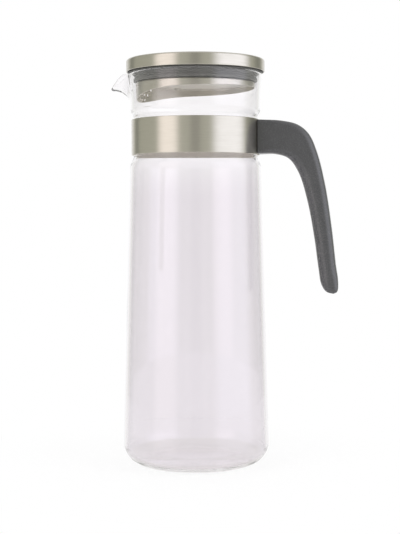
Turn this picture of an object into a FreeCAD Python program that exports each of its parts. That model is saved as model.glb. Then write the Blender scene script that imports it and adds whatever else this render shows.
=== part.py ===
"""A glass water jug with a clamped-on handle and a lift-off straining lid.

The jug stands on the XY plane with its axis on Z. The handle points along +X and the spout along -X.
Lengths are millimetres and angles are degrees.
"""
import FreeCAD
import Part
import Sketcher
import math
import os

Vector = FreeCAD.Vector
UP = Vector(0, 0, 1)

# Every driving dimension, by the alias of its cell in the sheet.
SIZES = {
    # glass body, measured on its outside
    "base_radius": 50.0,
    "base_corner": 7.5,
    "base_thick": 4.0,
    "glass_wall": 2.2,
    "body_top_radius": 45.0,
    "body_height": 196.0,
    "shoulder_step": 2.8,
    "shoulder_rise": 12.0,
    "waist_margin": 3.0,
    "neck_step": 2.3,
    "neck_rise": 6.5,
    "neck_height": 21.5,
    # pouring spout
    "spout_reach": 13.8,
    "spout_drop": 10.1,
    "spout_root_rise": 5.0,
    "spout_half_width": 13.0,
    "spout_tip_half_width": 3.0,
    "spout_wall": 1.4,
    "lip_start": 4.2,
    "lip_fullness": 1.3,
    # collar band and the liner under it
    "liner_thick": 0.7,
    "liner_inset": 0.6,
    "band_height": 24.0,
    "band_sheet": 0.8,
    "lug_gap": 10.0,
    "lug_length": 9.3,
    "lug_height": 15.0,
    "hook_gap": 5.2,
    "lug_end_gap": 0.3,
    # clamp inside the handle
    "clamp_plate_thick": 3.0,
    "clamp_plate_height": 13.0,
    "screw_radius": 2.0,
    "screw_overrun": 0.8,
    "screw_head_radius": 3.5,
    "screw_head_height": 2.6,
    "screw_socket_radius": 1.45,
    "screw_socket_depth": 1.5,
    "washer_radius": 3.8,
    "washer_thick": 1.0,
    "clamp_length": 10.5,
    "access_radius": 4.0,
    # handle, seen from the side
    "handle_width": 18.0,
    "handle_gap": 0.4,
    "handle_round": 3.0,
    "elbow_start": 8.2,
    "elbow_radius": 32.9,
    "back_radius": 900.0,
    "tip_reach": 49.5,
    "tip_drop": 114.8,
    "tip_radius": 5.5,
    "crook_start": 6.0,
    "crook_radius": 24.5,
    "grip_radius": 1000.0,
    # lid
    "cap_overhang": 2.6,
    "cap_height": 8.3,
    "cap_sheet": 0.8,
    "cap_edge": 1.6,
    "core_wall": 2.2,
    "core_skirt_depth": 7.2,
    "seal_room": 2.7,
    "seal_flange": 1.2,
    "seal_flange_overhang": 0.8,
    "seal_lip_reach": 0.8,
    "seal_lip": 1.0,
    "seal_lip_bevel": 0.5,
    "seal_lip_drop": 0.7,
    "seal_rib": 1.0,
    "strainer_gap": 1.6,
    "strainer_sheet": 0.6,
    "strainer_taper": 1.7,
    "strainer_level_run": 30.0,
    "strainer_neck_clearance": 2.7,
    "strainer_handle_depth": 4.0,
    "hole_radius": 1.1,
    "hole_margin": 2.4,
    "hole_angle_step": 6.0,
    "lid_screw_radius": 1.2,
    "lid_screw_head_radius": 2.2,
    "lid_screw_head_height": 0.9,
    "lid_screw_length": 5.0,
    "boss_sink": 0.8,
    # clearances
    "sliding_fit": 0.2,
    "close_fit": 0.1,
    "thread_fit": 0.05,
}
# The spout's sections, as shares of its reach from the neck, its narrowing and its rise.
SPOUT_SECTIONS = ((-0.6, 0.0, -0.3), (0.0, 0.0, 0.0), (0.37, 0.38, 0.65), (0.72, 0.72, 0.95), (1.1, 1.0, 1.0))
# Holes in each row of the strainer, from its top row down.
STRAINER_HOLES = (11, 9, 7)
LID_SCREWS = 3
HEX_CORNERS = 6
# How far a cutting shape runs past what it cuts.
PAST = 12.0

doc = FreeCAD.newDocument("glass_jug")
sheet = doc.addObject("Spreadsheet::Sheet", "sizes")
for row, (alias, number) in enumerate(SIZES.items(), start=1):
    sheet.set(f"A{row}", alias)
    sheet.set(f"B{row}", str(number))
    sheet.setAlias(f"B{row}", alias)
doc.recompute()


class Size:
    """A number together with the sheet expression that gives it."""

    def __init__(self, value, text=None):
        self.value = value
        self.text = repr(value) if text is None else text

    def __add__(self, other):
        other = as_size(other)
        return Size(self.value + other.value, f"({self.text} + {other.text})")

    def __sub__(self, other):
        other = as_size(other)
        return Size(self.value - other.value, f"({self.text} - {other.text})")

    def __mul__(self, other):
        other = as_size(other)
        return Size(self.value * other.value, f"({self.text} * {other.text})")

    def __truediv__(self, other):
        other = as_size(other)
        return Size(self.value / other.value, f"({self.text} / {other.text})")

    def __neg__(self):
        return Size(-self.value, f"(0 - {self.text})")


def as_size(number):
    return number if isinstance(number, Size) else Size(float(number))


def root_of(size):
    return Size(math.sqrt(size.value), f"sqrt({size.text})")


def leg(long_side, short_side):
    """The other leg of a right triangle."""
    return root_of(long_side * long_side - short_side * short_side)


def given(alias):
    return Size(float(getattr(sheet, alias)), f"sizes.{alias}")


ZERO = Size(0.0)

# Heights and radii that more than one piece shares.
wall = given("glass_wall")
waist_radius = given("body_top_radius") - given("shoulder_step")
neck_radius = waist_radius + given("neck_step")
neck_bore = neck_radius - wall
waist_low = given("body_height") + given("shoulder_rise")
band_low = waist_low + given("waist_margin")
band_top = band_low + given("band_height")
waist_top = band_top + given("waist_margin")
neck_low = waist_top + given("neck_rise")
rim = neck_low + given("neck_height")
liner_outside = waist_radius + given("liner_thick")
band_outside = liner_outside + given("band_sheet")
band_middle = band_low + given("band_height") / 2
lug_inside = given("lug_gap") / 2
lug_outside = lug_inside + given("band_sheet")
lug_end = band_outside + given("lug_length")
hook_face = lug_end - given("band_sheet")
clamp_floor = lug_end + given("lug_end_gap")
screw_seat = clamp_floor + given("clamp_length")
handle_depth = given("tip_reach") + given("tip_radius")
lid_seat = rim + given("seal_flange")
cap_top = lid_seat + given("cap_height")
cap_outside = neck_radius + given("cap_overhang")
cap_inside = cap_outside - given("cap_sheet")
core_top = cap_top - given("cap_sheet") - given("thread_fit")
core_low = lid_seat - given("core_skirt_depth")
core_outside = cap_inside - given("thread_fit")
core_wall_outside = neck_bore - given("seal_room")
core_wall_inside = core_wall_outside - given("core_wall") - given("seal_rib")
boss_radius = given("lid_screw_head_radius") + given("lid_screw_radius")
lid_screw_circle = core_wall_inside - boss_radius + given("boss_sink")
strainer_outside = neck_bore - given("strainer_gap")
strainer_low = core_low - given("strainer_sheet")


def bind(thing, **sizes):
    """Binds properties of a document object to sheet expressions."""
    for name, size in sizes.items():
        thing.setExpression(name, as_size(size).text)
    return thing


def bind_place(thing, x=ZERO, y=ZERO, z=ZERO):
    """Binds where an object stands."""
    for axis, size in (("x", x), ("y", y), ("z", z)):
        thing.setExpression(f"Placement.Base.{axis}", as_size(size).text)
    return thing


def new_body(label):
    body = doc.addObject("PartDesign::Body", label)
    body.Label = label
    return body


def origin_feature(body, role):
    return next(f for f in body.Origin.OriginFeatures if f.Role == role)


def new_sketch(body, name, plane, offset=None, turn=None):
    """A sketch on one of the body's own origin planes.

    It can be moved along the plane's normal, or turned about the plane's upright axis.
    """
    sketch = body.newObject("Sketcher::SketchObject", f"{body.Label}_{name}")
    sketch.AttachmentSupport = [(origin_feature(body, plane), "")]
    sketch.MapMode = "FlatFace"
    if turn is not None:
        sketch.AttachmentOffset = FreeCAD.Placement(Vector(), FreeCAD.Rotation(Vector(0, 1, 0), turn.value))
        sketch.setExpression("AttachmentOffset.Rotation.Angle", turn.text)
    if offset is not None:
        sketch.setExpression("AttachmentOffset.Base.z", offset.text)
    return sketch


def flat(point):
    return Vector(point[0].value, point[1].value, 0)


def add_line(sketch, start, end):
    return sketch.addGeometry(Part.LineSegment(flat(start), flat(end)), False), 1, 2


def add_arc(sketch, start, end, radius):
    """An arc under half a circle: counterclockwise for a positive radius, clockwise for a negative one.

    Returns the geometry's number and which of its ends is its start and its end.
    """
    a, b = flat(start), flat(end)
    reach = abs(radius.value)
    chord = b - a
    height = math.sqrt(max(reach**2 - (chord.Length / 2) ** 2, 0.0))
    side = Vector(-chord.y, chord.x, 0).normalize()
    centre = (a + b) / 2 + side * math.copysign(height, radius.value)
    from_angle, to_angle = (math.atan2(p.y - centre.y, p.x - centre.x) for p in (a, b))
    circle = Part.Circle(centre, UP, reach)
    if radius.value > 0:
        return sketch.addGeometry(Part.ArcOfCircle(circle, from_angle, to_angle), False), 1, 2
    return sketch.addGeometry(Part.ArcOfCircle(circle, to_angle, from_angle), False), 2, 1


def fix_point(sketch, geometry, end, point):
    """Ties a point to the origin by its two bound distances."""
    for axis, on_axis, size in (("X", -2, point[0]), ("Y", -1, point[1])):
        if size.text == ZERO.text:
            sketch.addConstraint(Sketcher.Constraint("PointOnObject", geometry, end, on_axis))
            continue
        distance = Sketcher.Constraint(f"Distance{axis}", -1, 1, geometry, end, size.value)
        number = sketch.addConstraint(distance)
        sketch.setExpression(f"Constraints[{number}]", size.text)


def fix_radius(sketch, geometry, size):
    number = sketch.addConstraint(Sketcher.Constraint("Radius", geometry, abs(size.value)))
    sketch.setExpression(f"Constraints[{number}]", size.text if size.value > 0 else (-size).text)


def add_circle(sketch, centre, radius):
    """A circle with its centre and its radius bound."""
    number = sketch.addGeometry(Part.Circle(flat(centre), UP, radius.value), False)
    fix_point(sketch, number, 3, centre)
    fix_radius(sketch, number, radius)


def draw_outline(sketch, corners):
    """A closed outline. A corner is (x, y), or (x, y, radius) where an arc leads on to the next corner."""
    edges = []
    for here, following in zip(corners, corners[1:] + corners[:1]):
        if len(here) == 3:
            edges.append(add_arc(sketch, here, following, here[2]))
        else:
            edges.append(add_line(sketch, here, following))
    for this, following in zip(edges, edges[1:] + edges[:1]):
        sketch.addConstraint(Sketcher.Constraint("Coincident", this[0], this[2], following[0], following[1]))
    for corner, (geometry, start, _) in zip(corners, edges):
        fix_point(sketch, geometry, start, corner)
        if len(corner) == 3:
            fix_radius(sketch, geometry, corner[2])
    return sketch


def sized(*numbers):
    return tuple(as_size(n) for n in numbers)


def revolve(body, name, corners, kind="PartDesign::Revolution"):
    """Turns an outline of radius and height round the Z axis."""
    sketch = draw_outline(new_sketch(body, name + "_outline", "XZ_Plane"), [sized(*c) for c in corners])
    feature = body.newObject(kind, f"{body.Label}_{name}")
    feature.Profile = sketch
    feature.ReferenceAxis = (sketch, ["V_Axis"])
    feature.Angle = 360
    return feature


def extrude(body, name, plane, corners, kind, offset=None, length=None):
    """Pads or pockets an outline: by a length, or both ways through everything."""
    sketch = draw_outline(new_sketch(body, name + "_outline", plane, offset), [sized(*c) for c in corners])
    feature = body.newObject(kind, f"{body.Label}_{name}")
    feature.Profile = sketch
    if length is None:
        feature.SideType = "Symmetric"
        feature.Type = "ThroughAll"
    else:
        bind(feature, Length=length)
    return feature


def block(low_x, high_x, low_z, high_z):
    return [(low_x, low_z), (high_x, low_z), (high_x, high_z), (low_x, high_z)]


def cylinder_along_x(name, radius, start, length):
    """A round bar along +X at the height of the band's middle."""
    bar = doc.addObject("Part::Cylinder", name)
    bar.Placement = FreeCAD.Placement(Vector(), FreeCAD.Rotation(Vector(0, 1, 0), 90))
    bind(bar, Radius=radius, Height=length)
    return bind_place(bar, x=start, z=band_middle)


def joined(name, pieces):
    fuse = doc.addObject("Part::MultiFuse", name)
    fuse.Shapes = pieces
    return fuse


def cut(name, base, tool):
    piece = doc.addObject("Part::Cut", name)
    piece.Base = base
    piece.Tool = tool
    piece.Label = name
    return piece


def ogee_radius(wide, narrow, rise):
    """The radius of each of two equal arcs that step a wall sideways within a rise."""
    step = wide - narrow
    return (step * step + rise * rise) / (step * 4)


def wall_outline(inset, foot, top):
    """The jug's wall from its foot to a height above the rim, moved in by an inset.

    The foot's corner is tighter inside than outside by half the wall.
    """
    corner = given("base_corner") - inset / 2
    base = given("base_radius") - inset
    shoulder = given("body_top_radius") - inset
    waist = waist_radius - inset
    neck = neck_radius - inset
    shoulder_low = given("body_height")
    low_arc = ogee_radius(shoulder, waist, waist_low - shoulder_low)
    high_arc = ogee_radius(neck, waist, neck_low - waist_top)
    return [
        (ZERO, foot),
        (base - corner, foot, corner),
        (base, foot + corner),
        (shoulder, shoulder_low, low_arc),
        ((shoulder + waist) / 2, (shoulder_low + waist_low) / 2, -low_arc),
        (waist, waist_low),
        (waist, waist_top, -high_arc),
        ((neck + waist) / 2, (waist_top + neck_low) / 2, high_arc),
        (neck, neck_low),
        (neck, top),
        (ZERO, top),
    ]


def spout_section(body, name, out, half_width, bottom, top, inset):
    """An upright U across the spout, at a distance out from the axis, moved in by the wall's thickness."""
    half = half_width - inset
    floor = bottom + inset
    sketch = new_sketch(body, name, "YZ_Plane", offset=-out)
    bend = floor + half
    corners = [(-half, top), (-half, bend, half), (ZERO, floor, half), (half, bend), (half, top)]
    return draw_outline(sketch, [sized(*c) for c in corners])


def spout_loft(body, name, inset, top, kind):
    """The spout's channel: U sections that narrow and rise from inside the neck to past the tip."""
    neck = neck_radius
    reach = given("spout_reach")
    root = neck_low + given("spout_root_rise")
    tip = rim - given("spout_drop")
    wide, narrow = given("spout_half_width"), given("spout_tip_half_width")
    rise, taper = tip - root, wide - narrow
    sections = []
    for number, (outward, narrowing, upward) in enumerate(SPOUT_SECTIONS):
        out, half_width = neck + reach * outward, wide - taper * narrowing
        bottom = root + rise * upward
        sections.append(spout_section(body, f"{name}_{number}", out, half_width, bottom, top, inset))
    loft = body.newObject(kind, f"{body.Label}_{name}")
    loft.Profile = sections[0]
    loft.Sections = sections[1:]
    return loft


def make_glass_jug():
    """One blown glass piece: a tapered body, a waist for the band, a straight neck and a pouring lip."""
    body = new_body("glass_jug")
    above = rim + PAST
    revolve(body, "outside", wall_outline(ZERO, ZERO, above))
    spout_loft(body, "spout", ZERO, above, "PartDesign::AdditiveLoft")
    revolve(body, "inside", wall_outline(wall, given("base_thick"), above + PAST), "PartDesign::Groove")
    spout_loft(body, "channel", given("spout_wall"), above + PAST, "PartDesign::SubtractiveLoft")
    tip_out = -(neck_radius + given("spout_reach"))
    floor = rim - given("spout_drop")
    tip = floor + given("spout_wall")
    lip_out = -(neck_radius + given("lip_start"))
    far = given("base_radius") + PAST
    lip_run, lip_fall = lip_out - tip_out, rim - tip
    lip_radius = root_of(lip_run * lip_run + lip_fall * lip_fall) * given("lip_fullness")
    over_lip = [
        (far, rim),
        (far, above + PAST * 2),
        (tip_out - PAST, above + PAST * 2),
        (tip_out - PAST, floor - PAST),
        (tip_out, floor - PAST),
        (tip_out, tip, -lip_radius),
        (lip_out, rim),
    ]
    extrude(body, "lip", "XZ_Plane", over_lip, "PartDesign::Pocket")
    return body


def make_band_liner():
    """A soft sleeve in the waist that keeps the steel off the glass."""
    body = new_body("band_liner")
    inset = given("liner_inset")
    revolve(body, "sleeve", block(waist_radius, liner_outside, band_low + inset, band_top - inset))
    return body


def make_collar_band():
    """A steel strip round the waist whose ends turn out into lugs with inward hooks."""
    body = new_body("collar_band")
    hook = given("hook_gap") / 2
    inside_root = leg(liner_outside, lug_inside)
    outside_root = leg(band_outside, lug_outside)
    strip = [
        (outside_root, lug_outside),
        (lug_end, lug_outside),
        (lug_end, hook),
        (hook_face, hook),
        (hook_face, lug_inside),
        (inside_root, lug_inside, liner_outside),
        (-liner_outside, ZERO, liner_outside),
        (inside_root, -lug_inside),
        (hook_face, -lug_inside),
        (hook_face, -hook),
        (lug_end, -hook),
        (lug_end, -lug_outside),
        (outside_root, -lug_outside, -band_outside),
        (-band_outside, ZERO, -band_outside),
    ]
    strip = reversed_outline(strip)
    extrude(body, "strip", "XY_Plane", strip, "PartDesign::Pad", offset=band_low, length=given("band_height"))
    lug_low = band_middle - given("lug_height") / 2
    lug_high = band_middle + given("lug_height") / 2
    lug_root = outside_root + given("close_fit")
    beside_lugs = {"under_lugs": (band_low - PAST, lug_low), "over_lugs": (lug_high, band_top + PAST)}
    for name, (low, high) in beside_lugs.items():
        extrude(body, name, "XZ_Plane", block(lug_root, lug_end + PAST, low, high), "PartDesign::Pocket")
    return body


def reversed_outline(corners):
    """The same outline drawn the other way round, with each arc's radius handed to its other end."""
    turned = []
    backwards = corners[::-1]
    for here, following in zip(backwards, backwards[1:] + backwards[:1]):
        turned.append((here[0], here[1], -following[2]) if len(following) == 3 else (here[0], here[1]))
    return turned


def make_clamp_plate():
    """The threaded plate that the screw draws against the band's hooks."""
    half_width = lug_inside - given("sliding_fit")
    half_height = given("clamp_plate_height") / 2
    plate = doc.addObject("Part::Box", "clamp_plate_blank")
    bind(plate, Length=given("clamp_plate_thick"), Width=half_width * 2, Height=half_height * 2)
    start = hook_face - given("clamp_plate_thick")
    bind_place(plate, x=start, y=-half_width, z=band_middle - half_height)
    hole = cylinder_along_x(
        "clamp_plate_hole",
        given("screw_radius") + given("thread_fit"),
        start - PAST,
        given("clamp_plate_thick") + PAST * 2,
    )
    return cut("clamp_plate", plate, hole)


def make_clamp_washer():
    """A flat washer on the handle's screw seat."""
    disc = cylinder_along_x("clamp_washer_disc", given("washer_radius"), screw_seat, given("washer_thick"))
    hole = cylinder_along_x(
        "clamp_washer_hole",
        given("screw_radius") + given("close_fit"),
        screw_seat - PAST,
        given("washer_thick") + PAST * 2,
    )
    return cut("clamp_washer", disc, hole)


def make_clamp_screw():
    """A socket-head screw that runs from its seat in the handle through the clamp plate."""
    head_start, head_height = screw_seat + given("washer_thick"), given("screw_head_height")
    point = hook_face - given("clamp_plate_thick") - given("screw_overrun")
    shank = cylinder_along_x("clamp_screw_shank", given("screw_radius"), point, head_start - point)
    head = cylinder_along_x("clamp_screw_head", given("screw_head_radius"), head_start, head_height)
    socket = doc.addObject("Part::Prism", "clamp_screw_socket")
    socket.Polygon = HEX_CORNERS
    socket.Placement = FreeCAD.Placement(Vector(), FreeCAD.Rotation(Vector(0, 1, 0), 90))
    bind(socket, Circumradius=given("screw_socket_radius"), Height=given("screw_socket_depth") + PAST)
    socket_floor = head_start + head_height - given("screw_socket_depth")
    bind_place(socket, x=socket_floor, z=band_middle)
    return cut("clamp_screw", joined("clamp_screw_blank", [shank, head]), socket)


def handle_side(sketch):
    """The handle's side view: level edges at the band, an elbow, a long back, a round tip and a crooked grip.

    The edges run on smoothly from one to the next, so most joints are tangent and only the driving
    sizes are fixed.
    """
    start = liner_outside
    elbow = (band_outside + given("elbow_start"), band_top)
    crook = (band_outside + given("crook_start"), band_low)
    tip = (band_outside + given("tip_reach"), band_top - given("tip_drop"))
    elbow_radius, crook_radius, tip_radius = given("elbow_radius"), given("crook_radius"), given("tip_radius")
    elbow_centre = flat((elbow[0], elbow[1] - elbow_radius))
    crook_centre = flat((crook[0], crook[1] - crook_radius))
    tip_centre = flat(tip)
    back = joint_arc(elbow_centre, elbow_radius, tip_centre, tip_radius, given("back_radius"))
    grip = joint_arc(crook_centre, crook_radius, tip_centre, -tip_radius, given("grip_radius"))
    top = add_line(sketch, (start, band_top), elbow)[0]
    arcs = {}
    for name, centre, radius, first, last in (
        ("elbow", elbow_centre, elbow_radius, back["from"], flat(elbow)),
        ("back", back["centre"], given("back_radius"), back["to"], back["from"]),
        ("tip", tip_centre, tip_radius, grip["to"], back["to"]),
        ("grip", grip["centre"], given("grip_radius"), grip["to"], grip["from"]),
        ("crook", crook_centre, crook_radius, grip["from"], flat(crook)),
    ):
        angles = [math.atan2(p.y - centre.y, p.x - centre.x) for p in (first, last)]
        arc = Part.ArcOfCircle(Part.Circle(centre, UP, radius.value), *angles)
        arcs[name] = sketch.addGeometry(arc, False)
        fix_radius(sketch, arcs[name], radius)
    under = add_line(sketch, crook, (start, band_low))[0]
    end = add_line(sketch, (start, band_low), (start, band_top))[0]
    for first, first_end, second, second_end in (
        (top, 2, arcs["elbow"], 2),
        (arcs["elbow"], 1, arcs["back"], 2),
        (arcs["back"], 1, arcs["tip"], 2),
        (arcs["tip"], 1, arcs["grip"], 1),
        (arcs["grip"], 2, arcs["crook"], 1),
        (arcs["crook"], 2, under, 1),
    ):
        sketch.addConstraint(Sketcher.Constraint("Tangent", first, first_end, second, second_end))
    sketch.addConstraint(Sketcher.Constraint("Coincident", under, 2, end, 1))
    sketch.addConstraint(Sketcher.Constraint("Coincident", end, 2, top, 1))
    sketch.addConstraint(Sketcher.Constraint("Horizontal", top))
    sketch.addConstraint(Sketcher.Constraint("Horizontal", under))
    sketch.addConstraint(Sketcher.Constraint("Vertical", end))
    fix_point(sketch, top, 2, elbow)
    number = sketch.addConstraint(Sketcher.Constraint("DistanceX", -1, 1, end, 1, start.value))
    sketch.setExpression(f"Constraints[{number}]", start.text)
    fix_point(sketch, under, 1, crook)
    fix_point(sketch, arcs["tip"], 3, tip)
    return sketch


def joint_arc(first_centre, first_radius, last_centre, last_radius, radius):
    """Where an arc of a given radius lies that holds the first circle inside it and meets the last one.

    The last circle is inside the arc too, or outside it where its radius is given as negative.
    """
    radius = radius.value
    to_first, to_last = radius - first_radius.value, radius - last_radius.value
    line = last_centre - first_centre
    along = (to_first**2 - to_last**2 + line.Length**2) / (2 * line.Length)
    across = math.sqrt(max(to_first**2 - along**2, 0.0))
    way = Vector(line).normalize()
    centre = first_centre + way * along + Vector(way.y, -way.x, 0) * across
    if centre.x > first_centre.x:
        centre = first_centre + way * along - Vector(way.y, -way.x, 0) * across
    touch_first = centre + (first_centre - centre).normalize() * radius
    touch_last = centre + (last_centre - centre).normalize() * radius
    return {"centre": centre, "from": touch_first, "to": touch_last}


def make_handle_blank():
    """The handle's whole outside, before the clamp is let into it."""
    body = new_body("handle_blank")
    sketch = handle_side(new_sketch(body, "side", "XZ_Plane"))
    pad = body.newObject("PartDesign::Pad", "handle_blank_pad")
    pad.Profile = sketch
    pad.SideType = "Symmetric"
    bind(pad, Length=given("handle_width"))
    doc.recompute()
    half = given("handle_width").value / 2
    tiny = 1e-6
    rounded = []
    for number, edge in enumerate(pad.Shape.Edges, start=1):
        box = edge.BoundBox
        on_side = abs(abs(box.YMin) - half) < tiny and box.YLength < tiny
        if on_side and box.XMax > liner_outside.value + tiny:
            rounded.append(f"Edge{number}")
    fillet = body.newObject("PartDesign::Fillet", "handle_blank_round")
    fillet.Base = (pad, rounded)
    bind(fillet, Radius=given("handle_round"))
    return body


def make_handle(blank):
    """The handle: saddled to the band, with a pocket for the lugs and a stepped bore for the screw."""
    saddle = doc.addObject("Part::Cylinder", "handle_saddle")
    bind(saddle, Radius=band_outside + given("handle_gap"), Height=given("band_height") + PAST * 2)
    bind_place(saddle, z=band_low - PAST)
    pocket = doc.addObject("Part::Box", "handle_pocket")
    half_width = lug_outside + given("sliding_fit")
    half_height = given("lug_height") / 2 + given("sliding_fit")
    bind(pocket, Length=clamp_floor, Width=half_width * 2, Height=half_height * 2)
    bind_place(pocket, y=-half_width, z=band_middle - half_height)
    bore = cylinder_along_x(
        "handle_screw_bore", given("screw_radius") + given("sliding_fit"), ZERO, screw_seat + PAST
    )
    access = cylinder_along_x("handle_access_bore", given("access_radius"), screw_seat, handle_depth)
    return cut("handle", blank, joined("handle_cuts", [saddle, pocket, bore, access]))


def make_screw_cover(blank):
    """A push-in plug that closes the screw's bore flush with the handle's back."""
    start = screw_seat + given("washer_thick") + given("screw_head_height") + given("sliding_fit")
    radius = given("access_radius") - given("thread_fit")
    bar = cylinder_along_x("screw_cover_bar", radius, start, handle_depth)
    cover = doc.addObject("Part::MultiCommon", "screw_cover")
    cover.Shapes = [blank, bar]
    cover.Label = "screw_cover"
    return cover


def make_lid_cap():
    """A pressed steel cap: a flat disc with a turned-down rim."""
    body = new_body("lid_cap")
    outside = cap_outside
    thick, edge = given("cap_sheet"), given("cap_edge")
    revolve(
        body,
        "shell",
        [
            (ZERO, cap_top - thick),
            (outside - edge, cap_top - thick, -(edge - thick)),
            (cap_inside, cap_top - edge),
            (cap_inside, lid_seat),
            (outside, lid_seat),
            (outside, cap_top - edge, edge),
            (outside - edge, cap_top),
            (ZERO, cap_top),
        ],
    )
    return body


def make_lid_core():
    """The moulded core in the cap: a rim that fills it, a grooved wall for the seal and a closed floor."""
    body = new_body("lid_core")
    thick = given("core_wall")
    wall_out = core_wall_outside
    wall_in = core_wall_inside
    rim_in = core_outside - thick
    groove_in = wall_out - given("seal_rib") - given("close_fit")
    groove_low, groove_high = seal_rib_span(given("close_fit"))
    edge_drop = given("cap_edge")
    revolve(
        body,
        "shell",
        [
            (ZERO, core_low),
            (wall_out, core_low),
            (wall_out, groove_low),
            (groove_in, groove_low),
            (groove_in, groove_high),
            (wall_out, groove_high),
            (wall_out, lid_seat),
            (core_outside, lid_seat),
            (core_outside, core_top - edge_drop),
            (core_outside - edge_drop, core_top),
            (rim_in, core_top),
            (rim_in, lid_seat + thick),
            (wall_in, lid_seat + thick),
            (wall_in, core_low + thick),
            (ZERO, core_low + thick),
        ],
    )
    doc.recompute()
    floor_before = body.Shape.Volume
    for number in range(LID_SCREWS):
        turn = lid_screw_turn(number)
        x, y = lid_screw_circle * math.cos(turn), lid_screw_circle * math.sin(turn)
        sketch = new_sketch(body, f"boss_{number}", "XY_Plane", offset=core_low + thick)
        add_circle(sketch, (x, y), boss_radius)
        boss = body.newObject("PartDesign::Pad", f"lid_core_boss_{number}")
        boss.Profile = sketch
        bind(boss, Length=given("lid_screw_length") - thick + given("lid_screw_radius"))
        drill = new_sketch(body, f"drill_{number}", "XY_Plane", offset=core_low)
        add_circle(drill, (x, y), given("lid_screw_radius") + given("thread_fit"))
        bore = body.newObject("PartDesign::Pocket", f"lid_core_bore_{number}")
        bore.Profile = drill
        bore.Reversed = True
        bind(bore, Length=given("lid_screw_length"))
    doc.recompute()
    assert body.Shape.Volume > floor_before, "the bosses add more than the bores take"
    return body


def seal_rib_span(clearance):
    """The lowest and highest point of the seal's inner rib, with a clearance round it."""
    middle = (lid_seat + core_low) / 2
    half = given("seal_rib") + clearance
    return middle - half, middle + half


def make_lid_seal():
    """A silicone ring: a flange on the rim, a sleeve with two lips and a rib in the core's groove."""
    body = new_body("lid_seal")
    inside = core_wall_outside + given("close_fit")
    lip_out = neck_bore - given("sliding_fit")
    outside = lip_out - given("seal_lip_reach")
    flange_out = neck_radius + given("seal_flange_overhang")
    low = core_low + given("sliding_fit")
    rib_in = core_wall_outside - given("seal_rib")
    rib_low, rib_high = seal_rib_span(ZERO)
    lip, bevel = given("seal_lip"), given("seal_lip_bevel")
    upper = rim - given("seal_lip_drop") - lip - bevel * 2
    revolve(
        body,
        "ring",
        [
            (inside, low),
            *lip_outline(outside, lip_out, low, lip, bevel),
            *lip_outline(outside, lip_out, upper, lip, bevel),
            (outside, rim),
            (flange_out, rim),
            (flange_out, lid_seat),
            (inside, lid_seat),
            (inside, rib_high),
            (rib_in, rib_high),
            (rib_in, rib_low),
            (inside, rib_low),
        ],
    )
    return body


def lip_outline(root, reach, low, lip, bevel):
    """The outline of one sealing lip, from its low edge up."""
    return [(root, low), (reach, low + bevel), (reach, low + bevel + lip), (root, low + bevel * 2 + lip)]


def lid_screw_turn(number):
    return 2 * math.pi * number / LID_SCREWS


def make_strainer():
    """The strainer under the lid: a tapered steel cup with its floor up, deep and pierced at the spout.

    Its edge runs level from the handle side and then curves down to its deepest point under the spout.
    """
    body = new_body("strainer")
    outside, sheet_thick = strainer_outside, given("strainer_sheet")
    inside = outside - sheet_thick
    deep = neck_low + given("strainer_neck_clearance")
    shallow = core_low - given("strainer_handle_depth")
    taper = given("strainer_taper")
    cup = [
        (ZERO, strainer_low),
        (inside, strainer_low),
        (inside - taper, deep),
        (outside - taper, deep),
        (outside, core_low),
        (ZERO, core_low),
    ]
    revolve(body, "cup", cup)
    below = deep - PAST
    level_end = outside - given("strainer_level_run")
    run, fall = level_end + outside, shallow - deep
    bend = (run * run + fall * fall) / (fall * 2)
    under_edge = [
        (-outside, deep),
        (-outside, below),
        (outside, below),
        (outside, shallow),
        (level_end, shallow, bend),
    ]
    extrude(body, "edge", "XZ_Plane", under_edge, "PartDesign::Pocket")
    step = given("hole_angle_step")
    top_row, low_row = core_low - given("hole_margin"), deep + given("hole_margin")
    row_step = (top_row - low_row) / (len(STRAINER_HOLES) - 1)
    for row, count in enumerate(STRAINER_HOLES):
        height = top_row - row_step * row
        first = step * ((count - 1) / 2)
        sketch = new_sketch(body, f"hole_{row}", "YZ_Plane", turn=first)
        add_circle(sketch, (ZERO, height), given("hole_radius"))
        drill = body.newObject("PartDesign::Pocket", f"strainer_hole_{row}")
        drill.Profile = sketch
        drill.Type = "ThroughAll"
        ring = body.newObject("PartDesign::PolarPattern", f"strainer_row_{row}")
        ring.Originals = [drill]
        ring.Axis = (origin_feature(body, "Z_Axis"), [""])
        ring.Occurrences = count
        bind(ring, Angle=step * (count - 1))
        ring.Reversed = True
        body.Tip = ring
    for number in range(LID_SCREWS):
        turn = lid_screw_turn(number)
        x, y = lid_screw_circle * math.cos(turn), lid_screw_circle * math.sin(turn)
        sketch = new_sketch(body, f"screw_hole_{number}", "XY_Plane", offset=strainer_low)
        add_circle(sketch, (x, y), given("lid_screw_radius") + given("close_fit"))
        drill = body.newObject("PartDesign::Pocket", f"strainer_screw_hole_{number}")
        drill.Profile = sketch
        drill.Reversed = True
        bind(drill, Length=sheet_thick)
    return body


def make_lid_screws():
    """Three small pan-head screws that hold the strainer's flange up against the core."""
    screws = []
    shank_top = core_low + given("lid_screw_length") - given("close_fit")
    for number in range(LID_SCREWS):
        turn = lid_screw_turn(number)
        x, y = lid_screw_circle * math.cos(turn), lid_screw_circle * math.sin(turn)
        shank = doc.addObject("Part::Cylinder", f"lid_screw_shank_{number}")
        bind(shank, Radius=given("lid_screw_radius"), Height=shank_top - strainer_low)
        bind_place(shank, x=x, y=y, z=strainer_low)
        head = doc.addObject("Part::Cylinder", f"lid_screw_head_{number}")
        bind(head, Radius=given("lid_screw_head_radius"), Height=given("lid_screw_head_height"))
        bind_place(head, x=x, y=y, z=strainer_low - given("lid_screw_head_height"))
        screws.append(joined(f"lid_screw_{number}", [shank, head]))
    group = doc.addObject("Part::Compound", "lid_screws")
    group.Links = screws
    group.Label = "lid_screws"
    return group


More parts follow.
